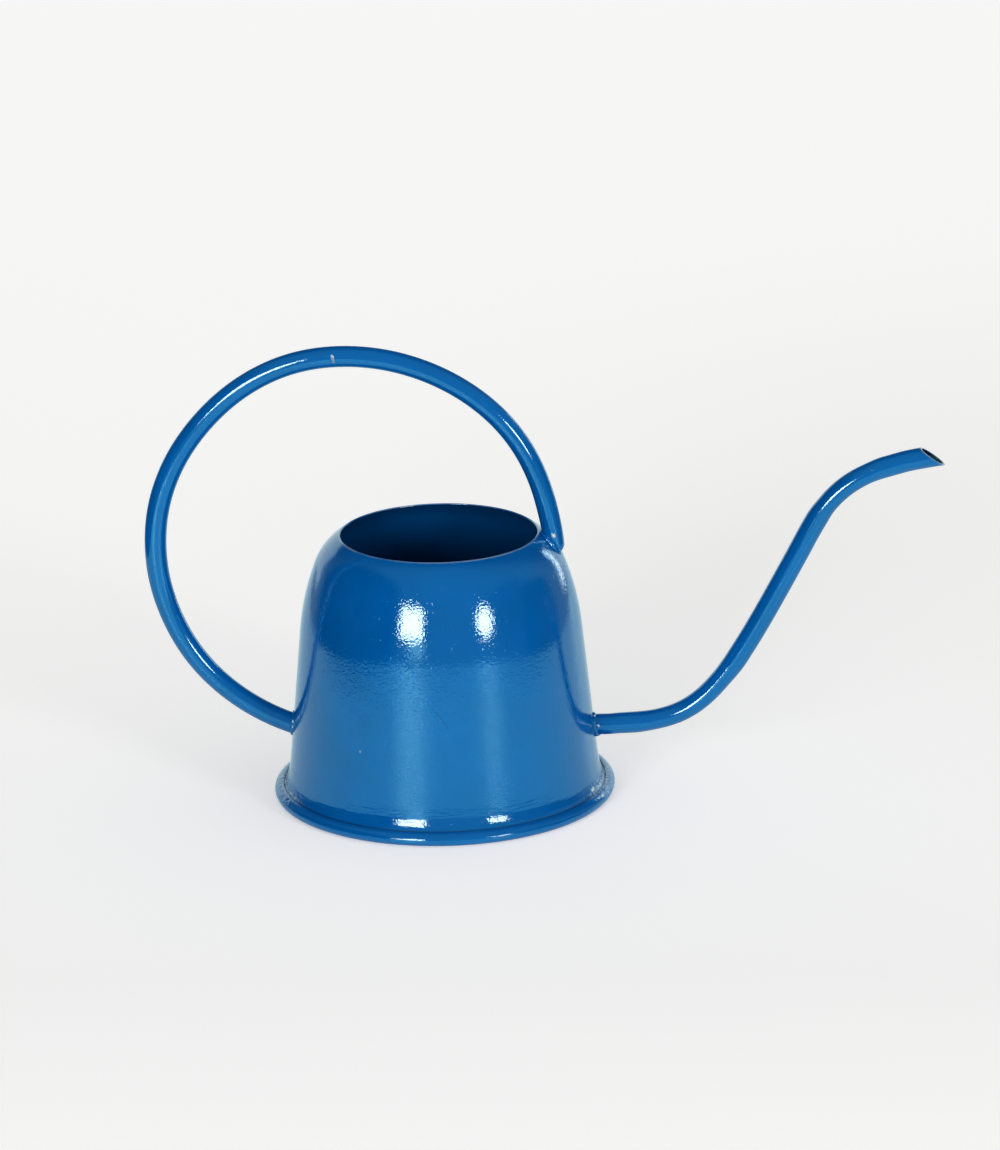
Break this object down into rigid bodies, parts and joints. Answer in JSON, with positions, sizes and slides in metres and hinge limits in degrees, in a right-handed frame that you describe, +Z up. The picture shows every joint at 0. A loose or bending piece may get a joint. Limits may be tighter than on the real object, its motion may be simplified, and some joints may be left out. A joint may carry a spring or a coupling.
{
  "type": "watering can",
  "caption": "Watering can with a bell-shaped sheet metal body, open mouth, tall ring handle of bent tube, swan-neck spout cut on the slant, and a rolled foot.",
  "frame": {"origin": "centre of the rolled foot, on the surface that the can stands on", "axes": "+Z up, +X towards the spout; the handle's ring and the spout lie in the plane y = 0"},
  "size_m": [0.3909, 0.169, 0.2284],
  "materials": {
    "painted_steel": "gloss blue enamel over steel, sheet and tube alike",
    "sealing_paste": "matt cured sealing paste"
  },
  "bodies": {
    "root": {"body_shell": "painted_steel", "base_pan": "painted_steel", "seam_sealant": "sealing_paste", "handle_tube": "painted_steel", "spout_tube": "painted_steel", "spout_weld": "painted_steel", "handle_top_weld": "painted_steel", "handle_bottom_weld": "painted_steel"}
  },
  "joints": []
}
